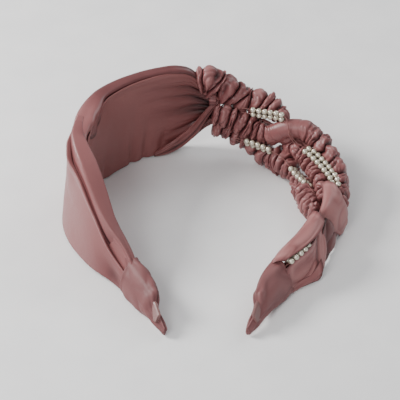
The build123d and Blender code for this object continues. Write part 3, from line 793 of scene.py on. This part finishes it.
# ---- loose ends of the satin on the braid's leg --------------------------------------------
# Each strap is drawn through a net of points (s, off, z), row by row.
OUTER_NET = (((93, 6.5, 19.5), (94, 3, 21.5), (96, -0.5, 20.5), (98, -3, 17.5), (99, -5.5, 12),
              (100, -6.5, 7), (101, -6, 3)),
             ((101, 6.0, 19.8), (101, 2.4, 21.2), (102, -1.6, 20), (103, -4.6, 16.2), (104, -6.8, 10.7),
              (105, -7.4, 5.7), (106, -6.6, 1.8)),
             ((109, 5.2, 19.6), (108.5, 2.2, 21), (108, -1.2, 19), (108, -4.0, 14.8), (108, -6.2, 9.2),
              (108, -6.8, 4.6), (108.5, -6.0, 1.1)),
             ((117, 4.8, 19.8), (116.5, 2.2, 20.2), (115.5, -0.8, 17), (114, -3.2, 12.4),
              (112.5, -5.0, 7.4), (111, -5.8, 3.4), (110.5, -5.4, 0.9)),
             ((121, 4.4, 18.8), (120.5, 2.8, 16), (119.5, 0.6, 12.4), (117.5, -1.4, 8.8),
              (115, -3.0, 5.2), (112.5, -4.4, 2.4), (111.5, -4.6, 0.9)))
FRONT_NET = (((117, 4.0, 15.5), (119, 6.6, 17.8), (122, 6.8, 19.0), (126, 5.6, 18.2)),
             ((121, 3.0, 16.5), (124, 4.8, 18.8), (128, 4.8, 18.8), (131, 4.4, 17.0)),
             ((126, 0, 15), (129, 0.8, 17.0), (133, 1.0, 16.6), (137, 1.4, 14.4)),
             ((129, -3.4, 10.5), (132, -3.2, 12.6), (136, -3.0, 12.0), (140, -1.8, 9.8)),
             ((133, -6.0, 4.4), (136, -6.4, 6.2), (139, -6.0, 5.6), (141.5, -5.2, 4.2)),
             ((136, -6.8, 1), (138.5, -7.4, 1.8), (140.5, -7.0, 1.8), (142, -6.4, 1.2)))
INNER_NET = (((125, -0.2, 20.4), (124, 2.2, 22.8), (122.5, 5.4, 22.8), (121.5, 7.4, 20.4),
              (121, 7.6, 17)),
             ((131, -1.8, 20.4), (131, 1.6, 22.6), (131, 5.4, 21.9), (131, 7.8, 19.2), (131, 8.0, 15.6)),
             ((141, -2.8, 20.2), (141, 0.2, 21.7), (143, 4.4, 20.6), (144, 7.0, 17.6), (144, 7.4, 13.8)),
             ((150, -2.4, 19.2), (151, 0.4, 20.7), (153, 4, 19.4), (154.5, 6.2, 16.2), (155, 6.6, 12)),
             ((158, -0.4, 17.2), (160, 1.2, 18), (161.5, 3.4, 17.2), (163, 5.2, 14.2), (164, 5.4, 10.4)))
LOWER_NET = (((134, -1.0, 18.6), (137, -3.6, 14), (139.5, -5.8, 7.8), (141.5, -7.4, 3.2)),
             ((142, -3.6, 18.2), (144, -5.0, 12.2), (146, -6.2, 6.2), (148, -7, 2.8)),
             ((151, -3.4, 17.0), (152, -4.8, 10.8), (154, -5.8, 5.2), (155, -6.4, 2.4)),
             ((160, -2.6, 14.0), (161, -4.0, 9.0), (162, -4.8, 4.6), (162, -5.4, 2)))
REAR_NET = (((138, -7.0, 9.0), (139.5, -9.6, 6.0), (141.5, -10.6, 2.4), (143.5, -10.2, 0.7)),
            ((144, -7.2, 4.6), (145, -9.0, 3.0), (147, -9.2, 1.6), (148.5, -8.6, 0.7)),
            ((152, -6.2, 3.6), (153, -7.4, 2.4), (154, -7.6, 1.4), (155, -7.0, 0.7)),
            ((160, -4.8, 3.2), (161, -5.6, 2.2), (161.5, -5.8, 1.4), (162, -5.4, 0.8)))
# a dark sheet of painted shade filling the hollow under the straps; it stands for no piece of the part
UNDER_NET = (((106, 2.3, 16.6), (107, -0.9, 12), (108, -2.7, 6), (109, -3.3, 0.9)),
             ((112, 1.7, 16), (113, -1.1, 11), (114.5, -2.7, 5), (116, -3.5, 0.9)),
             ((118, 0.7, 17), (119.5, -2, 12.4), (121, -3.7, 5.2), (122.5, -4.7, 0.9)),
             ((124, 0.5, 16.2), (126, -1.9, 11.6), (128, -3.5, 5), (129, -4.5, 0.9)),
             ((130, -0.9, 13.6), (132, -2.9, 8), (134, -4.3, 4), (135, -4.9, 0.9)),
             ((136, -2.9, 10.2), (138, -4.3, 5.6), (139, -5.1, 3), (139.5, -5.3, 0.9)))
# name, CAD nodes it stands for, net, flat size, depth of its soft folds, and how light it is: painted
# shade makes the straps underneath darker
TAILS = (("outer", ["tail_outer"], OUTER_NET, (0.028, 0.026), 0.4, 1.0),
         ("front", ["tail_front"], FRONT_NET, (0.030, 0.012), 0.6, 1.0),
         ("inner", ["tail_inner"], INNER_NET, (0.042, 0.013), 0.3, 0.85),
         ("lower", ["tail_lower"], LOWER_NET, (0.023, 0.016), 0.7, 0.8),
         ("rear", ["tail_rear"], REAR_NET, (0.016, 0.010), 0.4, 0.6),
         ("under", [], UNDER_NET, (0.032, 0.014), 1.2, 0.3))
ROWS_PER_POINT, COLUMNS_PER_POINT = 16, 12
STRAP_LOWEST = 0.5                               # middle of a strap's cloth at the floor


def make_tails():
    """The smooth straps on the braid's leg, each a sheet laid over or under the next."""
    for name, nodes, net, flat, depth, light in TAILS:
        rows, places = len(net), len(net[0])
        along, across = rows * ROWS_PER_POINT, places * COLUMNS_PER_POINT
        grid = smooth_net(net, along, across)
        points = at(grid[..., 0], grid[..., 1], grid[..., 2])
        u = np.linspace(0, rows - 1, along)[:, None]
        v = np.linspace(0, places - 1, across)[None, :]
        # another pattern of folds for each name
        ridge = crinkle(field(u * 0.55, v * 0.9, u * 0 + len(name) * 3.3 + ord(name[0])), 1.0)
        points = points + normals_of(points) * ((ridge - 0.6) * depth)[..., None]
        points[..., 2] = np.maximum(points[..., 2], STRAP_LOWEST)
        # painted shade in the soft folds
        shade = 0.62 + 0.38 * np.clip(ridge * 1.4, 0, 1)
        # painted shade along the edges, with a painted highlight line beside them
        edge = np.minimum(np.minimum(u, rows - 1 - u), np.minimum(v, places - 1 - v) * 1.4)
        shade = shade * (0.35 + 0.65 * np.clip(edge / 0.4, 0, 1)) + 0.25 * bell(edge, 0.42, 0.16)
        obj = cloth(f"satin_tail_{name}", points, shade * light, FOLD_WALL)
        soft(obj, PAINTED_LIGHT_STRAPS, nodes, body="braid_half")


# ---- sleeves over the tips -------------------------------------------------------------------
# |s|, off, z, half thickness, half height, lean of the top towards the head
SLEEVE = ((159.5, -0.6, 8.8, 5.2, 8.2, 3.6), (163, -0.5, 8.6, 5.1, 8.2, 3.5),
          (170, -0.2, 8.2, 4.8, 7.9, 3.3), (178, 0.1, 7.8, 4.2, 7.4, 3.0), (184, 0.3, 7.2, 3.4, 6.8, 2.6),
          (189, 0.6, 6.2, 2.7, 5.8, 2.0), (193, 0.9, 5.0, 1.9, 4.6, 1.4), (197, 1.2, 3.4, 1.1, 3.0, 0.6))
# |s|, how much of the upper side and of the lower side is left towards the folded end
UPPER_SIDE = ((159, 1.0), (178, 1.0), (182.5, 0.94), (185, 0.42), (190, 0.30), (197, 0.5))
LOWER_SIDE = ((159, 1.0), (168, 1.0), (178, 0.88), (186, 0.70), (192, 0.72), (197, 0.8))
SLEEVE_LIP, SLEEVE_END = 159.5, 197
SEAM_ANGLE = 1.15                                # where the folded seam runs, round the section


def make_sleeve(side, name, node_name, body, light):
    """Satin pocket with a turned lip, a few soft dents and a pinched, pointed end."""
    turn = np.linspace(0, 2 * np.pi, 72, endpoint=False)
    run = np.linspace(SLEEVE_LIP, SLEEVE_END, 84)
    # the wall runs up the inside and over the lip before the outside begins
    s = np.concatenate([np.linspace(191, 166, 14), np.linspace(165, 160.2, 8), run])[:, None]
    inner = np.concatenate([np.full(14, 1.2), np.linspace(1.1, 0.35, 8), np.zeros(len(run))])[:, None]
    off, z, wide, tall, lean = columns(SLEEVE, s)
    # the lip is rolled, and drawn in against the outer face of the leg
    lip = 0.35 * bell(s, 159.8, 1.0) - 0.7 * bell(s, 159.8, 4.0) * (np.cos(turn) < 0)
    dent = noise(field(s * 0.11, np.cos(turn) * 1.3 + side, np.sin(turn) * 1.3))
    crease = crinkle(field(s * 0.07 + 5, np.cos(turn) * 1.1, np.sin(turn) * 1.1 + side), 1.0)
    size = lip - inner + dent * 0.55 + (crease - 0.6) * 0.5
    # a folded seam that opens towards the end
    slit = bell(folded_angle(turn - SEAM_ANGLE), 0, 0.16) * fade(s, 176, 8)
    size = size - 1.5 * slit
    kept = np.where(np.sin(turn) > 0, column(UPPER_SIDE, s), column(LOWER_SIDE, s))
    across = (wide * (0.5 + 0.5 * kept) + size) * signed_power(np.cos(turn), 0.85)
    rise = (tall * kept + size) * signed_power(np.sin(turn), 0.9)
    slant = -1.6 * np.sin(turn) * bell(s, SLEEVE_LIP, 5)
    rings = at(side * (s + slant), off + across + lean * rise / tall, np.maximum(z + rise, 0.3))
    # painted shade in the creases, in the slit and on the inside wall
    shade = 0.66 + 0.34 * np.clip(crease * 1.3, 0, 1) - 0.7 * slit - 0.15 * (inner > 0.3)
    # the light share scales the whole sleeve: painted shade
    obj = tube(name, rings, np.clip(shade, 0, 1) * light)
    return soft(obj, SLEEVES, [node_name], body=body)


# ---- camera and lights in metres, floor in mm ----------------------------------------------
CAMERA_TARGET, CAMERA_DISTANCE, CAMERA_ELEVATION = (-0.0008, 0.0008, 0.022), 0.85, 40
CAMERA_LENS, CAMERA_SHIFT = 153, (-0.0155, -0.004)
LIGHT_TARGET = (0, 0, 0.02)
# name, place, size, watts, colour
LIGHTS = (("key", (-0.62, 0.16, 0.46), 0.26, 7.8, (1, 0.985, 0.965)),
          ("front", (-0.35, -0.60, 0.60), 0.36, 3.4, (1, 0.99, 0.98)),
          ("rim", (0.40, 0.45, 0.45), 0.30, 1.4, (0.98, 0.99, 1)))
SKY_COLOUR, SKY_STRENGTH = (0.93, 0.94, 0.95, 1), 0.52
FLOOR_REACH, FLOOR_DROP, FLOOR_POINTS = 900, 0.02, 64   # mm either way, mm below the band, points


def make_camera():
    """Camera in the photo's view of the band."""
    elevation = math.radians(CAMERA_ELEVATION)
    away = Vector((0, -math.cos(elevation), math.sin(elevation)))
    camera = bpy.data.objects.new("camera", bpy.data.cameras.new("camera"))
    bpy.context.scene.collection.objects.link(camera)
    camera.location = Vector(CAMERA_TARGET) + away * CAMERA_DISTANCE
    camera.rotation_euler = away.to_track_quat("Z", "Y").to_euler()
    camera.data.lens, camera.data.sensor_width = CAMERA_LENS, 36
    camera.data.shift_x, camera.data.shift_y = CAMERA_SHIFT
    camera.data.clip_start, camera.data.clip_end = 0.05, 20
    bpy.context.scene.camera = camera


def make_lights():
    """Three square lamps, and a pale world that fills the shadows."""
    for name, place, size, watts, colour in LIGHTS:
        light = bpy.data.objects.new(name, bpy.data.lights.new(name, "AREA"))
        light.data.shape, light.data.size = "SQUARE", size
        light.data.energy, light.data.color = watts, colour
        light.location = place
        light.rotation_euler = (Vector(place) - Vector(LIGHT_TARGET)).to_track_quat("Z", "Y").to_euler()
        bpy.context.scene.collection.objects.link(light)
    world = bpy.data.worlds.new("studio")
    bpy.context.scene.world = world
    world.use_nodes = True
    background = world.node_tree.nodes["Background"]
    background.inputs["Color"].default_value = SKY_COLOUR
    background.inputs["Strength"].default_value = SKY_STRENGTH


def make_floor():
    """Plain floor just below the band, which is no piece of it."""
    count = FLOOR_POINTS
    x, y = np.meshgrid(*[np.linspace(-FLOOR_REACH, FLOOR_REACH, count)] * 2, indexing="ij")
    verts = np.stack([x, y, np.zeros_like(x) - FLOOR_DROP], -1).reshape(-1, 3)
    faces = [[i * count + j, (i + 1) * count + j, (i + 1) * count + j + 1, i * count + j + 1]
             for i in range(count - 1) for j in range(count - 1)]
    floor = add_mesh("floor", verts, faces)
    floor.data.materials.append(FLOOR)


make_cover()
make_leg_fold("satin_leg_middle", 1, "wide_pleat_middle")
make_leg_fold("satin_leg_outer", 2, "wide_pleat_edge")
make_lining()
make_roll()
make_braid()
make_knot()
make_binding()
make_wrap()
make_tails()
# the wide side's sleeve gets painted shade: 0.68 of the light
make_sleeve(-1, "satin_sleeve_wide", "tip_sleeve_wide", "wide_half", 0.68)
make_sleeve(1, "satin_sleeve_braid", "tip_sleeve_braid", "braid_half", 1.0)
for name, material in (("pearls_lower", PEARL), ("pearls_upper", PEARL), ("threads_lower", THREAD),
                       ("threads_upper", THREAD), ("hoop_wide_half", HOOP), ("hoop_braid_half", HOOP)):
    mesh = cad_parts[name].data
    mesh.materials.clear()
    mesh.materials.append(material)
make_camera()
make_lights()
make_floor()
